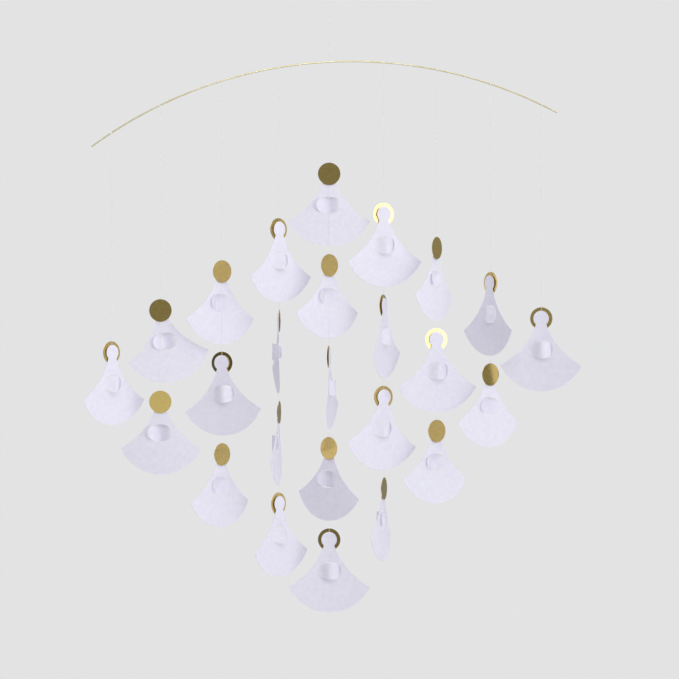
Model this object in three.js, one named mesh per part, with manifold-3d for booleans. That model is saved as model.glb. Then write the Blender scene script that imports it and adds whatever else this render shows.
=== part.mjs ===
// A hanging mobile: card angels with gold halos in nine columns, on threads knotted along a brass bow.
// Millimetres, +Z up. The origin is where a hook bears inside the hanging loop.
// An angel that isn't turned faces the front, which is -Y.

import * as THREE from 'three';
import { mergeVertices } from 'three/addons/utils/BufferGeometryUtils.js';
import Module from 'manifold-3d';

const wasm = await Module();
wasm.setup();

// Driving dimensions

const gap = 0.3; // air left between pieces that are tied or glued together

const wireDiameter = 2;
const bowSpan = 541; // between the bow's two ends
const bowRise = 78; // of the bow's middle above the line between its ends
const bowTilt = THREE.MathUtils.degToRad(4.2); // the left end hangs low
const knotOffset = 11.4; // the hanging knot is this far right of the bow's middle

const threadDiameter = 0.36;
const hangerLength = 96; // from the hook to where the middle column's thread leaves the bow
const loopDiameter = 14; // inside the hanging loop
const knotDiameter = 1.8;
const hitchWidth = 1.6; // of the thread's turns round the wire
const hitchWall = 0.6;

const columnPitch = 62.2;
const angelPitch = 106; // from one halo's centre to the next on the same thread

const haloDiameter = 26;
const haloThickness = 0.3;
const headDiameter = 18;
const cardThickness = 0.4;
const neckHalf = 6; // half the neck's width, where it leaves the head
const tipHalf = 47; // half the skirt's width, between its two points
const tipDrop = 54.8; // of the skirt's points below the halo's centre
const hemDrop = 84.2; // of the hem's lowest point below the halo's centre
const tipHeight = 1; // the points are cut blunt by this much
const tipForward = 3; // the skirt's points curl this far towards the front
const curlApex = 25; // the curl's straight lines meet this far above the halo's centre
const flare = new THREE.Vector2(16, -36.5); // pulls the skirt's side in between neck and point

const chestDrop = 36; // of the arms' middle below the halo's centre
const armsRoot = -12.5; // the arms are one tongue, which leaves the sheet here
const armsTip = 15.5; // and ends here, tucked behind the sheet
const armsHalf = 9.8; // half its height at the middle
const rootHalf = 5; // and where it leaves the sheet
const tipRound = 2; // and at its tucked end
const armsBulge = 7;
const armsTuck = 1.3;
const armsThickness = 0.3; // a little under the card's, so that the root sinks into the sheet
const slitReach = 13.5; // the tongue passes through the sheet at the right edge of its hole
const rootLap = 1.4; // the tongue overlaps the hole's left edge by this much

// From the left: how far the knot has crept from its even place, the drop from the bow to the first halo, and
// from the top angel down its turn (0 faces the front and 90 the right) and how far it leans, in degrees
const columns = [
  { name: 'a', creep: -3, drop: 253, turns: [46], leans: [0] },
  { name: 'b', creep: -9, drop: 236, turns: [186, 174], leans: [10, 0] },
  { name: 'c', creep: 0, drop: 219, turns: [217, -20, 227], leans: [0, -3, 0] },
  { name: 'd', creep: 4, drop: 186, turns: [44, -84, 263, 51], leans: [0, 0, 0, 0] },
  { name: 'e', creep: 0, drop: 128, turns: [182, 221, 82, 138, -4], leans: [0, 0, 0, -4, 0] },
  { name: 'f', creep: 1, drop: 174, turns: [26, 70, 33, 255], leans: [0, 0, 5, 0] },
  { name: 'g', creep: 0, drop: 205, turns: [242, 16, 218], leans: [0, 0, 0] },
  { name: 'h', creep: 0, drop: 229, turns: [-57, 220], leans: [0, 0] },
  { name: 'i', creep: -3, drop: 246, turns: [-12], leans: [0] },
];

// Sizes that follow

const wireRadius = wireDiameter / 2;
const threadRadius = threadDiameter / 2;
const bowRadius = ((bowSpan / 2) ** 2 + bowRise ** 2) / (2 * bowRise);
const halfSweep = Math.asin(bowSpan / 2 / bowRadius);
const hemRadius = (tipHalf ** 2 + (hemDrop - tipDrop) ** 2) / (2 * (hemDrop - tipDrop));
const hitchInner = (wireRadius + gap) / Math.cos(Math.PI / 8); // its eight flat sides clear the wire
const hitchOuter = hitchInner + hitchWall;
const hitchMiddle = (hitchInner + hitchOuter) / 2; // where the thread leaves its turns

// The bow is an arc of a circle. An angle along it is measured from straight above the circle's centre,
// and grows to the right. The threads leave their hitches on a slightly smaller circle.
const hangRadius = bowRadius - hitchMiddle;
const knotAngle = knotOffset / bowRadius - bowTilt;
const bowCentre = new THREE.Vector3(
  -hangRadius * Math.sin(knotAngle),
  0,
  -hangerLength - hangRadius * Math.cos(knotAngle),
);

function arcPoint(radius, angle) {
  const reach = new THREE.Vector3(Math.sin(angle), 0, Math.cos(angle));
  return reach.multiplyScalar(radius).add(bowCentre);
}

class BowLine extends THREE.Curve {
  getPoint(t) {
    return arcPoint(bowRadius, halfSweep * (2 * t - 1) - bowTilt);
  }
}

// Solids

function solidOf(geometry) {
  const plain = geometry.clone();
  plain.deleteAttribute('normal');
  plain.deleteAttribute('uv');
  const merged = mergeVertices(plain);
  const mesh = new wasm.Mesh({
    numProp: 3,
    vertProperties: new Float32Array(merged.attributes.position.array),
    triVerts: new Uint32Array(merged.index.array),
  });
  return new wasm.Manifold(mesh);
}

function geometryOf(solid) {
  const mesh = solid.getMesh();
  const geometry = new THREE.BufferGeometry();
  geometry.setAttribute('position', new THREE.BufferAttribute(mesh.vertProperties, 3));
  geometry.setIndex(new THREE.BufferAttribute(mesh.triVerts, 1));
  geometry.computeVertexNormals();
  return geometry;
}

function joined(geometries) {
  const solids = geometries.map(solidOf);
  return geometryOf(solids.reduce((whole, next) => whole.add(next)));
}

// A flat disc that stands upright, with its axis along Y
function uprightDisc(radius, thickness, sides) {
  return new THREE.CylinderGeometry(radius, radius, thickness, sides);
}

// A box bent into a sheet of card: place(across, down) gives a point at the middle of its thickness,
// with across from -1 to 1 and down from 0 to 1
function bentCard(columnCount, thickness, place) {
  const geometry = new THREE.BoxGeometry(2, 2, 1, columnCount, 1, 1).translate(0, 0, 0.5);
  const position = geometry.attributes.position;
  const step = 0.001;
  for (let i = 0; i < position.count; i += 1) {
    const across = position.getX(i);
    const down = 1 - position.getZ(i);
    const point = place(across, down);
    const along = place(across + step, down).sub(place(across - step, down));
    const outward = new THREE.Vector3(-along.y, along.x, 0).normalize();
    point.addScaledVector(outward, (position.getY(i) * thickness) / 2);
    position.setXYZ(i, point.x, point.y, point.z);
  }
  return geometry;
}

// The angel's card

const skirtSide = new THREE.QuadraticBezierCurve(
  new THREE.Vector2(neckHalf, -neckHalf),
  flare,
  new THREE.Vector2(tipHalf, tipHeight / 2 - tipDrop),
);
const skirtColumns = 10; // two of them across the neck, and four on each side

// How far back the curled sheet lies at a place on it
function curlAt(x, z) {
  const reach = new THREE.Vector2(x, curlApex - z);
  const tip = new THREE.Vector2(tipHalf, curlApex + tipDrop);
  const turn = Math.atan2(reach.x, reach.y) / Math.atan2(tip.x, tip.y);
  return (-tipForward * turn ** 2 * reach.length()) / tip.length();
}

function skirtPoint(across, down) {
  const neckShare = 2 / skirtColumns;
  const beyond = Math.max(0, Math.abs(across) - neckShare) / (1 - neckShare);
  const sidePoint = skirtSide.getPoint(1 - Math.sign(1 - beyond) * Math.abs(1 - beyond) ** 1.4);
  const inNeck = Math.min(1, Math.abs(across) / neckShare);
  const x = Math.sign(across) * inNeck * sidePoint.x;
  const hemLine = hemRadius - hemDrop - Math.sqrt(hemRadius ** 2 - x ** 2);
  const hem = Math.min(hemLine, sidePoint.y - tipHeight);
  const z = THREE.MathUtils.lerp(sidePoint.y, hem, down);
  return new THREE.Vector3(x, curlAt(x, z), z);
}

function armsPoint(across, down) {
  const x = THREE.MathUtils.lerp(armsRoot, armsTip, (across + 1) / 2);
  const end = across < 0 ? rootHalf : tipRound;
  const half = THREE.MathUtils.lerp(end, armsHalf, Math.sqrt(Math.max(0, 1 - across ** 2)));
  const z = half * (1 - 2 * down) - chestDrop;
  const tuck = across < 0 ? 0 : armsTuck;
  const bulge = ((armsBulge + tuck) * (1 + Math.cos(Math.PI * across))) / 2;
  return new THREE.Vector3(x, curlAt(x, z) + tuck - bulge, z);
}

function angelGeometry() {
  const head = solidOf(uprightDisc(headDiameter / 2, cardThickness, 12));
  const skirt = solidOf(bentCard(skirtColumns, cardThickness, skirtPoint));
  const holeLeft = armsRoot + rootLap;
  const hole = uprightDisc(1, 4 * cardThickness, 8);
  hole.scale((slitReach - holeLeft) / 2, 1, armsHalf).translate((slitReach + holeLeft) / 2, 0, -chestDrop);
  const arms = solidOf(bentCard(5, armsThickness, armsPoint));
  const angel = head.add(skirt).subtract(solidOf(hole)).add(arms);
  return geometryOf(angel.asOriginal().simplify(0.08)); // drops the seams left across flat faces
}

// The thread: turns round the wire, the straight drop and, on the middle one, the hanging loop

function straightThread(fromZ, toZ) {
  const length = fromZ - toZ;
  return new THREE.CylinderGeometry(threadRadius, threadRadius, length, 8).translate(0, -length / 2, 0)
    .rotateX(Math.PI / 2)
    .translate(0, 0, fromZ);
}

function hitchGeometry(angle) {
  const section = [
    new THREE.Vector2(hitchInner, -hitchWidth / 2),
    new THREE.Vector2(hitchOuter, -hitchWidth / 2),
    new THREE.Vector2(hitchOuter, hitchWidth / 2),
    new THREE.Vector2(hitchInner, hitchWidth / 2),
    new THREE.Vector2(hitchInner, -hitchWidth / 2),
  ];
  const hitch = new THREE.LatheGeometry(section, 8).rotateZ(-Math.PI / 2).translate(0, 0, hitchMiddle);
  return hitch.rotateY(angle);
}

function hangerGeometries() {
  const loopRadius = loopDiameter / 2 + threadRadius;
  const loopBottom = hangerLength - loopDiameter - threadRadius;
  const loop = new THREE.TorusGeometry(loopRadius, threadRadius, 6, 12).rotateX(Math.PI / 2);
  loop.translate(0, 0, loopBottom + loopRadius);
  const knot = new THREE.SphereGeometry(knotDiameter / 2, 8, 6).translate(0, 0, loopBottom);
  const rise = straightThread(loopBottom, 2 * hitchMiddle);
  return [loop, knot, rise];
}

// Assembly

function finish(color, roughness, metalness) {
  return new THREE.MeshStandardMaterial({ color, roughness, metalness });
}

function named(name, geometry, material) {
  const mesh = new THREE.Mesh(geometry, material);
  mesh.name = name;
  return mesh;
}

const sharedAngel = angelGeometry();
const haloGeometry = geometryOf(solidOf(uprightDisc(haloDiameter / 2, haloThickness, 14)).simplify(0.01));

function angelWithHalo(name) {
  const angel = named(`angel_${name}`, sharedAngel, finish(0xf1eff6, 0.85, 0));
  const halo = named(`halo_${name}`, haloGeometry, finish(0xc79a3e, 0.3, 1));
  angel.position.y = -(threadRadius + gap + cardThickness / 2);
  halo.position.y = threadRadius + gap + haloThickness / 2;
  return new THREE.Group().add(angel, halo);
}

function hangingColumn({ name, creep, drop, turns, leans }, index) {
  const middle = (columns.length - 1) / 2;
  const x = (index - middle) * columnPitch + creep;
  const angle = Math.asin((x - bowCentre.x) / hangRadius);
  const column = new THREE.Group();
  column.position.copy(arcPoint(hangRadius, angle));

  const lowest = drop + (turns.length - 1) * angelPitch;
  const endDrop = lowest + headDiameter / 2 - 1;
  const pieces = [hitchGeometry(angle), straightThread(0, -endDrop)];
  const isMiddle = index === middle;
  if (isMiddle) pieces.push(...hangerGeometries());
  const threadName = isMiddle ? 'hanging_thread' : `thread_${name}`;
  column.add(named(threadName, joined(pieces), finish(0xf4f3ef, 0.6, 0)));

  turns.forEach((turn, row) => {
    const angel = angelWithHalo(`${name}${row + 1}`);
    angel.position.z = -(drop + row * angelPitch);
    angel.rotation.set(0, THREE.MathUtils.degToRad(leans[row]), THREE.MathUtils.degToRad(turn), 'ZYX');
    column.add(angel);
  });
  return column;
}

function bow() {
  const section = new THREE.Shape(new THREE.EllipseCurve(0, 0, wireRadius, wireRadius).getPoints(8));
  const geometry = new THREE.ExtrudeGeometry(section, { steps: 20, extrudePath: new BowLine() });
  return named('bow', geometry, finish(0xc9a24b, 0.28, 1));
}

const group = new THREE.Group();
group.add(bow(), ...columns.map(hangingColumn));

export default group;
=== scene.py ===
import math

import bmesh
import bpy
from mathutils import Matrix, Vector
from mathutils.geometry import interpolate_bezier


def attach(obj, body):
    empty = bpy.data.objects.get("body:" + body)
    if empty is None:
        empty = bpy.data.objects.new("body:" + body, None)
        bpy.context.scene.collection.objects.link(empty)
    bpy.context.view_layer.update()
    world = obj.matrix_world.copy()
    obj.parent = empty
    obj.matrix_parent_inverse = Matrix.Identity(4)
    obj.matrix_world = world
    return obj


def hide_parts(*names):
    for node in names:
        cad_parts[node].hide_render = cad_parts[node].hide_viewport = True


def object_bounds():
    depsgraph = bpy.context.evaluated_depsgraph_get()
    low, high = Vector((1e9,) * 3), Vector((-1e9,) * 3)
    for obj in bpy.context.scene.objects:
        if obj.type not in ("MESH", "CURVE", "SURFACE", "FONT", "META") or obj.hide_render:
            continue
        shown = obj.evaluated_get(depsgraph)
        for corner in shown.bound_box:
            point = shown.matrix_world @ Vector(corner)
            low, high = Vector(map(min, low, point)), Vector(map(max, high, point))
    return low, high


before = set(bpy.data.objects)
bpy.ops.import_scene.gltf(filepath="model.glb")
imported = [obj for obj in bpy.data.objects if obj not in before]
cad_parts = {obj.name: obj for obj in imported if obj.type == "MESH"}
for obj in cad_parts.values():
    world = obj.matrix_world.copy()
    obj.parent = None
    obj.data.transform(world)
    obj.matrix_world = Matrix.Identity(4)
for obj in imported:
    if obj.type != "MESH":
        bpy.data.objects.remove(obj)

cadLow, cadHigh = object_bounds()
print("frame loaded")


# How the pieces are set out, in metres and degrees: the same measures as the solids

threadSettings = {
    "diameter": 0.00036,
    "hangerLength": 0.096,  # from the hook to where the middle thread leaves the bow
    "loopDiameter": 0.014,  # inside the hanging loop
    "knotDiameter": 0.0018,
    "tail": 0.008,  # each thread runs this far past the middle of its lowest halo
    "wrapDiameter": 0.0006,  # of one turn of thread round the wire, with what is tucked under it
    "wrapCount": 3,
    "wrapSpacing": 0.9,  # the turns are pressed together to this share of their diameter
    "wrapGrip": 0.8,  # and on to the wire, to this share of their radius
    "wrapSteps": (10, 24),  # round a turn's section, and round the wire
    "points": 24,  # along each column's thread
    "risePoints": 12,  # from the bow up to the knot
    "loopPoints": 24,  # round the hanging loop
}

bowSettings = {
    "wireDiameter": 0.002,
    "span": 0.541,
    "rise": 0.078,
    "tilt": math.radians(4.2),  # the left end hangs low
    "knotOffset": 0.0114,  # the hanging knot is this far right of the middle
    "steps": 160,
    "sides": 20,
    "endRounding": 0.0003,
}

layout = {
    "gap": 0.0003,  # of air between the wire and the thread's turns
    "hitchWall": 0.0006,  # how thick those turns lie on the wire
    "columnPitch": 0.0622,
    "angelPitch": 0.106,
    "cardOffset": 0.00068,  # from a thread's middle forward to the middle of the card
    "haloOffset": 0.00063,  # and back to the middle of the halo
    # from the left: how far the knot has crept from its even place, the drop from the bow to the first
    # halo, and from the top angel down its turn (0 faces the front and 90 the right) and how far it leans
    "columns": [
        {"name": "a", "creep": -0.003, "drop": 0.253, "turns": [46], "leans": [0]},
        {"name": "b", "creep": -0.009, "drop": 0.236, "turns": [186, 174], "leans": [10, 0]},
        {"name": "c", "creep": 0.0, "drop": 0.219, "turns": [217, -20, 227], "leans": [0, -3, 0]},
        {"name": "d", "creep": 0.004, "drop": 0.186, "turns": [44, -84, 263, 51], "leans": [0, 0, 0, 0]},
        {"name": "e", "creep": 0.0, "drop": 0.128, "turns": [182, 221, 82, 138, -4],
         "leans": [0, 0, 0, -4, 0]},
        {"name": "f", "creep": 0.001, "drop": 0.174, "turns": [26, 70, 33, 255], "leans": [0, 0, 5, 0]},
        {"name": "g", "creep": 0.0, "drop": 0.205, "turns": [242, 16, 218], "leans": [0, 0, 0]},
        {"name": "h", "creep": 0.0, "drop": 0.229, "turns": [-57, 220], "leans": [0, 0]},
        {"name": "i", "creep": -0.003, "drop": 0.246, "turns": [-12], "leans": [0]},
    ],
}

wireRadius = bowSettings["wireDiameter"] / 2
threadRadius = threadSettings["diameter"] / 2
bowRadius = ((bowSettings["span"] / 2) ** 2 + bowSettings["rise"] ** 2) / (2 * bowSettings["rise"])
halfSweep = math.asin(bowSettings["span"] / 2 / bowRadius)
hitchInner = (wireRadius + layout["gap"]) / math.cos(math.pi / 8)  # its eight flat sides clear the wire
hangRadius = bowRadius - hitchInner - layout["hitchWall"] / 2  # the threads leave the turns on this circle
knotAngle = bowSettings["knotOffset"] / bowRadius - bowSettings["tilt"]
bowCentre = Vector((
    -hangRadius * math.sin(knotAngle),
    0,
    -threadSettings["hangerLength"] - hangRadius * math.cos(knotAngle),
))


def arcPoint(radius, angle):
    # angles run along the bow from straight above its centre, and grow to the right
    return bowCentre + radius * Vector((math.sin(angle), 0, math.cos(angle)))


def hangingPlaces():
    # each column with the angle and the point where its thread leaves the bow
    middle = (len(layout["columns"]) - 1) / 2
    for index, column in enumerate(layout["columns"]):
        x = (index - middle) * layout["columnPitch"] + column["creep"]
        angle = math.asin((x - bowCentre.x) / hangRadius)
        yield column, angle, arcPoint(hangRadius, angle), index == middle


# Helpers

def linearColour(hexText):
    # an sRGB hex value as the linear colour that a socket takes
    parts = [int(hexText[i:i + 2], 16) / 255 for i in (1, 3, 5)]
    linear = [c / 12.92 if c <= 0.04045 else ((c + 0.055) / 1.055) ** 2.4 for c in parts]
    return (*linear, 1)


def addNode(nodes, kind, links=(), **settings):
    # settings name a property or an input; links are (from socket, to input) pairs
    node = nodes.new(kind)
    for name, value in settings.items():
        if hasattr(node, name):
            setattr(node, name, value)
        else:
            node.inputs[name.replace("_", " ")].default_value = value
    for source, target in links:
        nodes.id_data.links.new(source, node.inputs[target])
    return node


def newMaterial(name):
    material = bpy.data.materials.new(name)
    material.use_nodes = True
    nodes = material.node_tree.nodes
    return material, nodes, nodes["Principled BSDF"]


def pieceFrom(bm, name, material, crease=math.radians(40)):
    # smooth shaded, but for edges that turn by more than the crease
    mesh = bpy.data.meshes.new(name)
    for face in bm.faces:
        face.smooth = True
    for edge in bm.edges:
        edge.smooth = edge.calc_face_angle(0) < crease
    bm.to_mesh(mesh)
    bm.free()
    mesh.materials.append(material)
    piece = bpy.data.objects.new(name, mesh)
    bpy.context.collection.objects.link(piece)
    return piece


def thickenSheet(bm, thickness):
    # a sheet of no thickness becomes card: it grows backwards, and is then moved forward by half of that
    bmesh.ops.solidify(bm, geom=bm.faces[:], thickness=thickness)
    bmesh.ops.translate(bm, vec=(0, -thickness / 2, 0), verts=bm.verts)
    bmesh.ops.recalc_face_normals(bm, faces=bm.faces)


def placedCopy(design, name, place):
    # a repeated piece gets its own mesh, with its place in it
    mesh = design.data.copy()
    mesh.name = name
    mesh.transform(place)
    piece = bpy.data.objects.new(name, mesh)
    bpy.context.collection.objects.link(piece)
    return piece


# Camera: level, square on to the bow, with some air round the mobile

cameraSettings = {
    "aimX": 0.012,  # a little right of the middle thread
    "aimZ": -0.416,
    "distance": 3.5,
    "viewWidth": 0.787,  # of what it sees at the mobile
    "sensor": 36,
}


def makeCamera():
    s = cameraSettings
    data = bpy.data.cameras.new("camera")
    data.sensor_width = s["sensor"]
    data.lens = s["sensor"] * s["distance"] / s["viewWidth"]
    camera = bpy.data.objects.new("camera", data)
    camera.location = (s["aimX"], -s["distance"], s["aimZ"])
    camera.rotation_euler = (math.pi / 2, 0, 0)
    bpy.context.collection.objects.link(camera)
    bpy.context.scene.camera = camera


makeCamera()
print("camera placed")


# Thread: two-ply white polyester sewing thread, twisted and lightly glazed, so it is soft white with
# a slanting groove along it: the bump draws the groove, and its shade is painted in a little darker

def threadMaterial():
    material, nodes, shader = newMaterial("twistedThread")
    shader.inputs["Roughness"].default_value = 0.6
    shader.inputs["IOR"].default_value = 1.53
    shader.inputs["Sheen Weight"].default_value = 0.3
    where = addNode(nodes, "ShaderNodeTexCoord")
    twist = addNode(  # a stripe in every 1.8 mm of thread: diagonal bands repeat each pi / 5 over the scale
        nodes, "ShaderNodeTexWave", [(where.outputs["Object"], "Vector")],
        bands_direction="DIAGONAL", Scale=350.0, Distortion=0.4,
    )
    # painted shade: the thread's colour is a shade darker where the bump sinks into the groove between the
    # plies
    colour = addNode(nodes, "ShaderNodeValToRGB", [(twist.outputs["Fac"], "Fac")])
    colour.color_ramp.elements[0].color = linearColour("#efeeea")
    colour.color_ramp.elements[1].color = linearColour("#faf9f7")
    bump = addNode(
        nodes, "ShaderNodeBump", [(twist.outputs["Fac"], "Height")], Strength=0.4, Distance=0.00005,
    )
    links = material.node_tree.links
    links.new(colour.outputs["Color"], shader.inputs["Base Color"])
    links.new(bump.outputs["Normal"], shader.inputs["Normal"])
    return material


thread = threadMaterial()


def threadCurve(name, route):
    data = bpy.data.curves.new(name, "CURVE")
    data.dimensions = "3D"
    data.bevel_depth = threadRadius
    data.bevel_resolution = 2
    data.use_fill_caps = True
    spline = data.splines.new("POLY")
    spline.points.add(len(route) - 1)
    for point, place in zip(spline.points, route):
        point.co = (*place, 1)
    spline.use_smooth = True
    data.materials.append(thread)
    piece = bpy.data.objects.new(name, data)
    bpy.context.collection.objects.link(piece)
    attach(piece, "root")
    return piece


def hangStraight(name, top, length, node):
    count = threadSettings["points"]
    route = [top - Vector((0, 0, length * i / (count - 1))) for i in range(count)]
    piece = threadCurve(name, route)
    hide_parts(node)


def hangFromHook(start):
    # up from the bow to the knot, round the loop and back to the knot
    s = threadSettings
    loopRadius = s["loopDiameter"] / 2 + threadRadius
    knot = Vector((0, 0, threadRadius - 2 * loopRadius))
    rise = knot.z - start.z
    count = s["risePoints"]
    route = [start + Vector((0, 0, rise * i / (count - 1))) for i in range(count)]
    centre = knot + Vector((0, 0, loopRadius))
    for i in range(1, s["loopPoints"] + 1):
        angle = 2 * math.pi * i / s["loopPoints"]
        route.append(centre + loopRadius * Vector((math.sin(angle), 0, -math.cos(angle))))
    route[-1] = knot + Vector((0.0003, 0, 0.0003))  # inside the knot, beside the thread that comes up
    piece = threadCurve("hangerThread", route)
    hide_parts("hanging_thread")
    bm = bmesh.new()
    bmesh.ops.create_uvsphere(bm, u_segments=16, v_segments=10, radius=s["knotDiameter"] / 2)
    bmesh.ops.translate(bm, vec=knot, verts=bm.verts)
    tie = pieceFrom(bm, "loopKnot", thread)
    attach(tie, "root")
    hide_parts("hanging_thread")


def wrapRound(name, angle, node):
    # turns of the thread side by side round the wire
    s = threadSettings
    bm = bmesh.new()
    wrapRadius = s["wrapDiameter"] / 2
    sides, steps = s["wrapSteps"]
    for turn in range(s["wrapCount"]):
        ring = bmesh.ops.create_circle(bm, segments=sides, radius=wrapRadius)
        along = (turn - (s["wrapCount"] - 1) / 2) * s["wrapDiameter"] * s["wrapSpacing"]
        place = Matrix.Translation((along, 0, -(wireRadius + wrapRadius * s["wrapGrip"])))
        bmesh.ops.transform(bm, matrix=place @ Matrix.Rotation(math.pi / 2, 4, "X"), verts=ring["verts"])
        edges = list({edge for v in ring["verts"] for edge in v.link_edges})
        bmesh.ops.spin(
            bm, geom=ring["verts"] + edges, cent=(0, 0, 0), axis=(1, 0, 0), angle=2 * math.pi,
            steps=steps, use_merge=True,
        )
    bmesh.ops.remove_doubles(bm, verts=bm.verts, dist=1e-7)
    bmesh.ops.recalc_face_normals(bm, faces=bm.faces)
    place = Matrix.Translation(arcPoint(bowRadius, angle)) @ Matrix.Rotation(angle, 4, "Y")
    bmesh.ops.transform(bm, matrix=place, verts=bm.verts)
    piece = pieceFrom(bm, name, thread)
    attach(piece, "root")
    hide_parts(node)


def makeThreads():
    s = threadSettings
    for column, angle, top, isMiddle in hangingPlaces():
        name = column["name"]
        node = "hanging_thread" if isMiddle else f"thread_{name}"
        length = column["drop"] + (len(column["turns"]) - 1) * layout["angelPitch"] + s["tail"]
        hangStraight(f"thread_{name.upper()}", top, length, node)
        wrapRound(f"wrap_{name.upper()}", angle, node)
        if isMiddle:  # the thread goes on up from the top of its turns
            hangFromHook(top + Vector((0, 0, 2 * (bowRadius - hangRadius))))


makeThreads()
print("threads hung")


# Bow: bright drawn brass wire, bent cold, so it is pale yellow metal with fine lines drawn along it

def brassMaterial():
    material, nodes, shader = newMaterial("drawnBrassWire")
    shader.inputs["Metallic"].default_value = 1.0
    where = addNode(nodes, "ShaderNodeTexCoord")
    stretch = addNode(  # drawing lines about 17 mm long, a millimetre or so apart
        nodes, "ShaderNodeMapping", [(where.outputs["Object"], "Vector")], Scale=(60.0, 1500.0, 600.0),
    )
    lines = addNode(
        nodes, "ShaderNodeTexNoise", [(stretch.outputs["Vector"], "Vector")], Scale=1.0, Detail=4.0,
    )
    stains = addNode(  # handling marks, about 2 cm long
        nodes, "ShaderNodeTexNoise", [(where.outputs["Object"], "Vector")], Scale=45.0, Detail=3.0,
    )
    colour = addNode(nodes, "ShaderNodeValToRGB", [(stains.outputs["Fac"], "Fac")])
    colour.color_ramp.elements[0].position = 0.35
    colour.color_ramp.elements[0].color = linearColour("#e8deb2")
    colour.color_ramp.elements[1].position = 0.7
    colour.color_ramp.elements[1].color = linearColour("#f6f0d0")
    rough = addNode(
        nodes, "ShaderNodeMapRange", [(lines.outputs["Fac"], "Value")], To_Min=0.2, To_Max=0.38,
    )
    bump = addNode(
        nodes, "ShaderNodeBump", [(lines.outputs["Fac"], "Height")], Strength=0.2, Distance=0.00005,
    )
    links = material.node_tree.links
    links.new(colour.outputs["Color"], shader.inputs["Base Color"])
    links.new(rough.outputs["Result"], shader.inputs["Roughness"])
    links.new(bump.outputs["Normal"], shader.inputs["Normal"])
    return material


def makeBow():
    s = bowSettings
    bm = bmesh.new()
    bmesh.ops.create_circle(bm, segments=s["sides"], radius=wireRadius)
    start = -halfSweep - s["tilt"]
    lie = Matrix.Translation(arcPoint(bowRadius, start)) @ Matrix.Rotation(start + math.pi / 2, 4, "Y")
    bmesh.ops.transform(bm, matrix=lie, verts=bm.verts)
    bmesh.ops.spin(
        bm, geom=bm.verts[:] + bm.edges[:], cent=bowCentre, axis=(0, 1, 0), angle=2 * halfSweep,
        steps=s["steps"],
    )
    ends = [edge for edge in bm.edges if edge.is_boundary]
    caps = bmesh.ops.holes_fill(bm, edges=ends, sides=s["sides"])
    rims = list({edge for face in caps["faces"] for edge in face.edges})
    bmesh.ops.bevel(
        bm, geom=rims, offset=s["endRounding"], segments=3, profile=0.5, affect="EDGES", material=-1,
    )
    bmesh.ops.recalc_face_normals(bm, faces=bm.faces)
    bow = pieceFrom(bm, "bowWire", brassMaterial())
    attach(bow, "root")
    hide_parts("bow")


makeBow()
print("bow bent")


# Angel: die-cut matt white board, tinted a cool lavender by its brightener. It is smooth to the eye,
# with a faint fibre mottle, and it scatters light evenly.

angelSettings = {
    "headRadius": 0.009,
    "neckHalf": 0.006,  # half the neck's width, where it leaves the head
    "tipHalf": 0.047,  # half the skirt's width, between its two points
    "tipDrop": 0.0548,  # of the skirt's points below the halo's centre
    "hemDrop": 0.0842,  # of the hem's lowest point
    "tipHeight": 0.001,  # the points are cut blunt by this much
    "flare": (0.016, -0.0365),  # pulls the skirt's side in between neck and point
    "tipForward": 0.003,  # the points curl this far towards the front
    "curlApex": 0.025,  # the curl's straight lines meet this far above the halo's centre
    "chestDrop": 0.0360,  # of the arms' middle
    "armsRoot": -0.0125,  # the arms are one tongue, which leaves the sheet here
    "armsTip": 0.0155,  # and ends here, tucked behind the sheet
    "armsHalf": 0.0098,  # half its height at the middle
    "rootHalf": 0.0025,  # and where it leaves the sheet
    "tipRound": 0.001,  # and at its tucked end
    "armsBulge": 0.007,  # it stands this far before the sheet at its middle
    "armsTuck": 0.0034,  # and this far behind it at its end
    "slit": 0.0135,  # the tongue passes through the sheet here
    "cutWidth": 0.0004,  # air between the arms' edges and the sheet they are cut from
    "thickness": 0.0004,
    "cell": 0.002,  # the sheet is divided this finely so that it bends smoothly
    "headSteps": 20,
    "edgeSteps": 28,  # along the skirt's side, and along half of its hem
    "cutSteps": 14,
    "armsCells": (28, 10),  # along the tongue, and up it
}


def curlAt(x, z):
    # where the sheet lies in y: it bends as a cone does, and brings the skirt's points forward
    s = angelSettings
    reach = math.hypot(x, s["curlApex"] - z)
    tipReach = math.hypot(s["tipHalf"], s["curlApex"] + s["tipDrop"])
    turn = math.atan2(x, s["curlApex"] - z) / math.atan2(s["tipHalf"], s["curlApex"] + s["tipDrop"])
    return -s["tipForward"] * turn ** 2 * reach / tipReach


def armsShape(across):
    # place along the tongue, half its height there, and how far it stands behind the sheet
    s = angelSettings
    x = s["armsRoot"] + (s["armsTip"] - s["armsRoot"]) * (across + 1) / 2
    end = s["rootHalf"] if across < 0 else s["tipRound"]
    half = end + (s["armsHalf"] - end) * math.sqrt(max(0, 1 - across ** 2))
    tuck = 0 if across < 0 else s["armsTuck"]
    return x, half, tuck - (s["armsBulge"] + tuck) * (1 + math.cos(math.pi * across)) / 2


def openingHalf(x):
    # half the height of the opening that the tongue is cut from: it hugs the tongue up to the round slit
    s = angelSettings
    middle = (s["armsRoot"] + s["armsTip"]) / 2
    if x < middle:
        return armsShape((x - middle) / (middle - s["armsRoot"]))[1] + s["cutWidth"]
    share = min(1, (x - middle) / (s["slit"] - middle))
    return (s["armsHalf"] + s["cutWidth"]) * math.sqrt(1 - share ** 3)


def fillLine(bm, points):
    # a flat face inside a closed line
    verts = [bm.verts.new(p) for p in points]
    bmesh.ops.remove_doubles(bm, verts=verts, dist=1e-6)
    verts = [v for v in verts if v.is_valid]
    edges = [bm.edges.new((a, b)) for a, b in zip(verts, verts[1:] + verts[:1])]
    bmesh.ops.contextual_create(bm, geom=edges)


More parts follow.
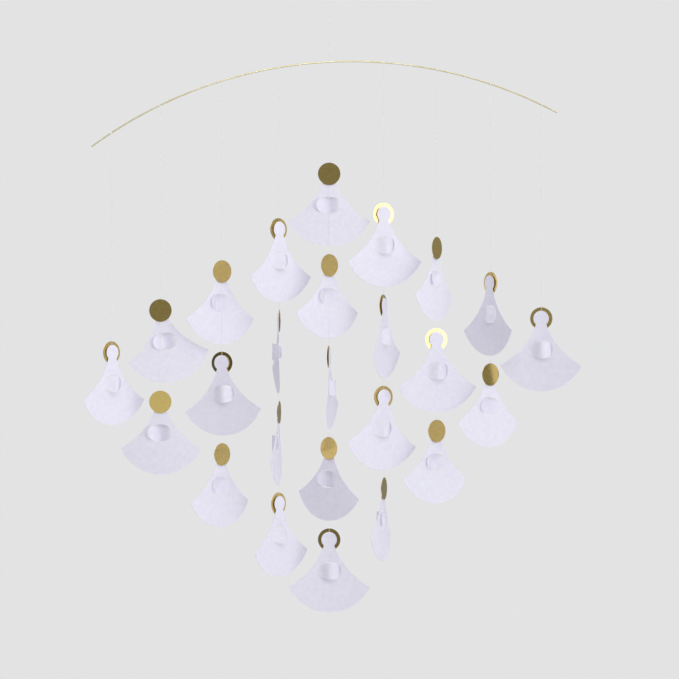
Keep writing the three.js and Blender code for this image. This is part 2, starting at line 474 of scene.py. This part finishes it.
def halfOutline(side):
    # one half of the flat sheet, from the top of the head round to the hem and up past the arms' cut
    s = angelSettings
    neckAngle = math.pi - math.asin(s["neckHalf"] / s["headRadius"])
    head = [
        Vector((s["headRadius"] * math.sin(a), 0, s["headRadius"] * math.cos(a)))
        for a in [neckAngle * i / s["headSteps"] for i in range(s["headSteps"] + 1)]
    ]
    tipTop = Vector((s["tipHalf"], 0, s["tipHeight"] / 2 - s["tipDrop"]))
    pull = Vector((s["flare"][0], 0, s["flare"][1]))
    steps = s["edgeSteps"]
    edge = interpolate_bezier(head[-1], head[-1].lerp(pull, 2 / 3), tipTop.lerp(pull, 2 / 3), tipTop, steps)
    hemRadius = (s["tipHalf"] ** 2 + (s["hemDrop"] - s["tipDrop"]) ** 2) / (2 * (s["hemDrop"] - s["tipDrop"]))
    hemTurn = math.asin(s["tipHalf"] / hemRadius)
    hem = [
        Vector((hemRadius * math.sin(a), 0, hemRadius - s["hemDrop"] - hemRadius * math.cos(a)))
        for a in [hemTurn * (1 - i / steps) for i in range(steps + 1)]
    ]
    hem[0].z = tipTop.z - s["tipHeight"]
    reach = s["slit"] if side > 0 else -s["armsRoot"]
    cut = []
    for i in range(s["cutSteps"] + 1):
        x = reach * math.sin(math.pi / 2 * i / s["cutSteps"])
        cut.append(Vector((x, 0, -s["chestDrop"] - openingHalf(side * x))))
    cut += [Vector((p.x, 0, -2 * s["chestDrop"] - p.z)) for p in reversed(cut)]
    return [Vector((side * p.x, 0, p.z)) for p in head + edge[1:] + hem + cut]


def cutIntoCells(bm, low, high, normal):
    count = round((high - low) / angelSettings["cell"])
    for i in range(1, count):
        place = Vector(normal) * (low + (high - low) * i / count)
        bmesh.ops.bisect_plane(
            bm, geom=bm.verts[:] + bm.edges[:] + bm.faces[:], plane_co=place, plane_no=normal, dist=1e-6,
        )


def angelDesign(material):
    s = angelSettings
    bm = bmesh.new()
    for side in (1, -1):
        fillLine(bm, halfOutline(side))
    bmesh.ops.remove_doubles(bm, verts=bm.verts, dist=1e-6)
    cutIntoCells(bm, -s["tipHalf"], s["tipHalf"], (1, 0, 0))
    cutIntoCells(bm, -s["hemDrop"], s["headRadius"], (0, 0, 1))
    bmesh.ops.recalc_face_normals(bm, faces=bm.faces)
    long, high = s["armsCells"]
    arms = bmesh.ops.create_grid(bm, x_segments=long, y_segments=high, size=1.0)
    depths = {}
    for v in arms["verts"]:
        x, half, depth = armsShape(v.co.x)
        depths[v] = depth
        v.co = Vector((x, 0, half * v.co.y - s["chestDrop"]))
    for v in bm.verts:
        v.co.y = curlAt(v.co.x, v.co.z) + depths.get(v, 0)
    for face in bm.faces:
        face.normal_update()
        if face.normal.y > 0:
            face.normal_flip()
    thickenSheet(bm, s["thickness"])
    return pieceFrom(bm, "angelDesign", material)


def boardMaterial():
    material, nodes, shader = newMaterial("matWhiteBoard")
    shader.inputs["Roughness"].default_value = 0.85
    shader.inputs["IOR"].default_value = 1.5
    shader.inputs["Specular IOR Level"].default_value = 0.3
    where = addNode(nodes, "ShaderNodeTexCoord")
    mottle = addNode(  # cloudy fibre formation, a few millimetres across
        nodes, "ShaderNodeTexNoise", [(where.outputs["Object"], "Vector")], Scale=220.0, Detail=5.0,
    )
    fibre = addNode(  # fibres are 0.02 mm wide: drawn twenty times as coarse, so that they show
        nodes, "ShaderNodeTexNoise", [(where.outputs["Object"], "Vector")], Scale=2500.0, Detail=3.0,
    )
    colour = addNode(nodes, "ShaderNodeValToRGB", [(mottle.outputs["Fac"], "Fac")])
    colour.color_ramp.elements[0].position = 0.3
    colour.color_ramp.elements[0].color = linearColour("#edebf8")
    colour.color_ramp.elements[1].position = 0.7
    colour.color_ramp.elements[1].color = linearColour("#f4f2fe")
    bump = addNode(
        nodes, "ShaderNodeBump", [(fibre.outputs["Fac"], "Height")], Strength=0.25, Distance=0.00005,
    )
    links = material.node_tree.links
    links.new(colour.outputs["Color"], shader.inputs["Base Color"])
    links.new(bump.outputs["Normal"], shader.inputs["Normal"])
    return material


# Halo: a disc of card faced with hot-stamped gold foil, a little bowed, so it mirrors light and dark
# patches of the room in gold

haloSettings = {
    "radius": 0.013,
    "thickness": 0.0003,
    "bow": 0.00002,  # the middle stands this far out of flat
    "sides": 64,
    "rings": 6,
}


def foilMaterial():
    material, nodes, shader = newMaterial("goldFoilCard")
    shader.inputs["Metallic"].default_value = 1.0
    where = addNode(nodes, "ShaderNodeTexCoord")
    grain = addNode(  # the card's own unevenness under the foil, about 3 mm across
        nodes, "ShaderNodeTexNoise", [(where.outputs["Object"], "Vector")], Scale=330.0, Detail=3.0,
    )
    colour = addNode(nodes, "ShaderNodeValToRGB", [(grain.outputs["Fac"], "Fac")])
    colour.color_ramp.elements[0].position = 0.3
    colour.color_ramp.elements[0].color = linearColour("#e1c674")
    colour.color_ramp.elements[1].position = 0.7
    colour.color_ramp.elements[1].color = linearColour("#ebd384")
    rough = addNode(
        nodes, "ShaderNodeMapRange", [(grain.outputs["Fac"], "Value")], To_Min=0.08, To_Max=0.14,
    )
    bump = addNode(nodes, "ShaderNodeBump", [(grain.outputs["Fac"], "Height")], Strength=0.1, Distance=0.0001)
    links = material.node_tree.links
    links.new(colour.outputs["Color"], shader.inputs["Base Color"])
    links.new(rough.outputs["Result"], shader.inputs["Roughness"])
    links.new(bump.outputs["Normal"], shader.inputs["Normal"])
    return material


def haloDesign(material):
    s = haloSettings
    bm = bmesh.new()
    bmesh.ops.create_circle(bm, segments=s["sides"], radius=s["radius"], cap_ends=True)
    for ring in range(1, s["rings"]):
        inner = [face for face in bm.faces if face.calc_center_median().length < 1e-6]
        bmesh.ops.inset_region(bm, faces=inner, thickness=s["radius"] / s["rings"], use_even_offset=True)
    bmesh.ops.rotate(bm, cent=(0, 0, 0), matrix=Matrix.Rotation(math.pi / 2, 3, "X"), verts=bm.verts)
    for v in bm.verts:
        share = math.hypot(v.co.x, v.co.z) / s["radius"]
        v.co.y = s["bow"] * (0.5 - share ** 2)
    thickenSheet(bm, s["thickness"])
    return pieceFrom(bm, "haloDesign", material)


def makeAngels():
    board = boardMaterial()
    foil = foilMaterial()
    angel = angelDesign(board)
    halo = haloDesign(foil)
    for column, angle, top, isMiddle in hangingPlaces():
        for row, (turn, lean) in enumerate(zip(column["turns"], column["leans"])):
            name = f"{column['name']}{row + 1}"
            centre = top - Vector((0, 0, column["drop"] + row * layout["angelPitch"]))
            facing = Matrix.Translation(centre) @ Matrix.Rotation(math.radians(turn), 4, "Z")
            facing = facing @ Matrix.Rotation(math.radians(lean), 4, "Y")
            front = facing @ Matrix.Translation((0, -layout["cardOffset"], 0))
            back = facing @ Matrix.Translation((0, layout["haloOffset"], 0))
            card = placedCopy(angel, f"angelCard_{name}", front)
            disc = placedCopy(halo, f"haloDisc_{name}", back)
            for piece, node, finish in ((card, f"angel_{name}", "card"), (disc, f"halo_{name}", "gold_foil")):
                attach(piece, "root")
                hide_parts(node)
    for design in (angel, halo):
        bpy.data.objects.remove(design)


makeAngels()
print("angels hung")


# Studio: a pale floor, two soft lights set high, and surroundings that light the cards and show in the foil

studioSettings = {
    "floorDrop": 0.93,  # below the lowest hem
    "floorRadius": 7.0,
    "floorSides": 96,
    "background": "#e3e3e4",
    "keyPower": 3.0,
    "keySize": 0.6,
    "keyPlace": (-0.1, -1.3, 0.5),
    "brightest": 4.4,
    # how bright the walls are, as a share of the brightest, by the angle to the right of the camera: a dark
    # room behind the camera, a window on its right, and grey walls with darker corners all round
    "walls": [
        (-180, 0.07), (-140, 0.11), (-104, 0.16), (-64, 0.14), (-47, 0.03), (-22, 0.03), (-15, 0.24),
        (-10, 0.03), (-5, 0.07), (22, 0.07), (29, 0.92), (55, 0.92), (61, 0.28), (67, 0.15), (71, 0.19),
        (77, 0.07), (82, 0.06), (88, 0.14), (92, 0.22), (96, 0.16), (99, 0.05), (118, 0.09), (180, 0.07),
    ],
    "skyLeft": 0.62,  # brightness overhead on the left, and on the right
    "skyRight": 1.5,
    "fillPower": 6.0,
    "fillSize": 1.2,
    "fillPlace": (-2.2, 0.9, 1.1),
}


def areaLight(name, place, size, power, aim):
    data = bpy.data.lights.new(name, "AREA")
    data.shape = "DISK"
    data.size = size
    data.energy = power
    light = bpy.data.objects.new(name, data)
    light.location = place
    light.rotation_euler = (Vector(aim) - Vector(place)).to_track_quat("-Z", "Y").to_euler()
    bpy.context.collection.objects.link(light)


def makeFloor():
    s = studioSettings
    material, nodes, shader = newMaterial("paleFloor")
    shader.inputs["Roughness"].default_value = 0.9
    where = addNode(nodes, "ShaderNodeTexCoord")
    cloud = addNode(nodes, "ShaderNodeTexNoise", [(where.outputs["Object"], "Vector")], Scale=1.5, Detail=2.0)
    colour = addNode(nodes, "ShaderNodeValToRGB", [(cloud.outputs["Fac"], "Fac")])
    colour.color_ramp.elements[0].color = linearColour("#dededf")
    colour.color_ramp.elements[1].color = linearColour("#e6e6e7")
    material.node_tree.links.new(colour.outputs["Color"], shader.inputs["Base Color"])
    bm = bmesh.new()
    bmesh.ops.create_circle(bm, segments=s["floorSides"], radius=s["floorRadius"], cap_ends=True)
    bmesh.ops.translate(bm, vec=(0, 0, cadLow.z - s["floorDrop"]), verts=bm.verts)
    pieceFrom(bm, "floor", material)


def makeWorld():
    s = studioSettings
    world = bpy.data.worlds.new("studio")
    world.use_nodes = True
    nodes = world.node_tree.nodes
    links = world.node_tree.links
    backdrop = nodes["Background"]
    backdrop.inputs["Color"].default_value = linearColour(s["background"])
    where = addNode(nodes, "ShaderNodeTexCoord")
    split = addNode(nodes, "ShaderNodeSeparateXYZ", [(where.outputs["Generated"], "Vector")])
    ahead = addNode(nodes, "ShaderNodeMath", [(split.outputs["Y"], 0)], operation="MULTIPLY")
    ahead.inputs[1].default_value = -1.0
    angle = addNode(
        nodes, "ShaderNodeMath", [(split.outputs["X"], 0), (ahead.outputs["Value"], 1)], operation="ARCTAN2",
    )
    share = addNode(
        nodes, "ShaderNodeMapRange", [(angle.outputs["Value"], "Value")],
        From_Min=-math.pi, From_Max=math.pi,
    )
    ring = addNode(nodes, "ShaderNodeValToRGB", [(share.outputs["Result"], "Fac")])
    stops = ring.color_ramp.elements
    for _ in s["walls"][2:]:  # a new ramp has two stops
        stops.new(0.5)
    for stop, (degrees, brightness) in zip(stops, s["walls"]):
        stop.position = (degrees + 180) / 360
        stop.color = (brightness, brightness, brightness, 1)
    walls = addNode(nodes, "ShaderNodeMath", [(ring.outputs["Color"], 0)], operation="MULTIPLY")
    walls.inputs[1].default_value = s["brightest"]
    sky = addNode(
        nodes, "ShaderNodeMapRange", [(split.outputs["X"], "Value")],
        From_Min=-1.0, To_Min=s["skyLeft"], To_Max=s["skyRight"],
    )
    height = addNode(
        nodes, "ShaderNodeMapRange", [(split.outputs["Z"], "Value")],
        From_Min=0.15, From_Max=0.4, interpolation_type="SMOOTHSTEP",
    )
    lit = addNode(nodes, "ShaderNodeMix", [
        (height.outputs["Result"], "Factor"), (walls.outputs["Value"], 2), (sky.outputs["Result"], 3),
    ])
    seen = addNode(nodes, "ShaderNodeLightPath")  # straight from the camera, only the plain backdrop shows
    strength = addNode(nodes, "ShaderNodeMix", [
        (seen.outputs["Is Camera Ray"], "Factor"), (lit.outputs[0], 2),
    ])
    strength.inputs[3].default_value = 1.0
    links.new(strength.outputs[0], backdrop.inputs["Strength"])
    bpy.context.scene.world = world


makeFloor()
makeWorld()
middle = (cadLow + cadHigh) / 2
areaLight(
    "keyLight", studioSettings["keyPlace"], studioSettings["keySize"], studioSettings["keyPower"], middle,
)
areaLight(
    "fillLight", studioSettings["fillPlace"], studioSettings["fillSize"], studioSettings["fillPower"], middle,
)
bpy.context.scene.view_settings.view_transform = "Standard"
print("studio lit")
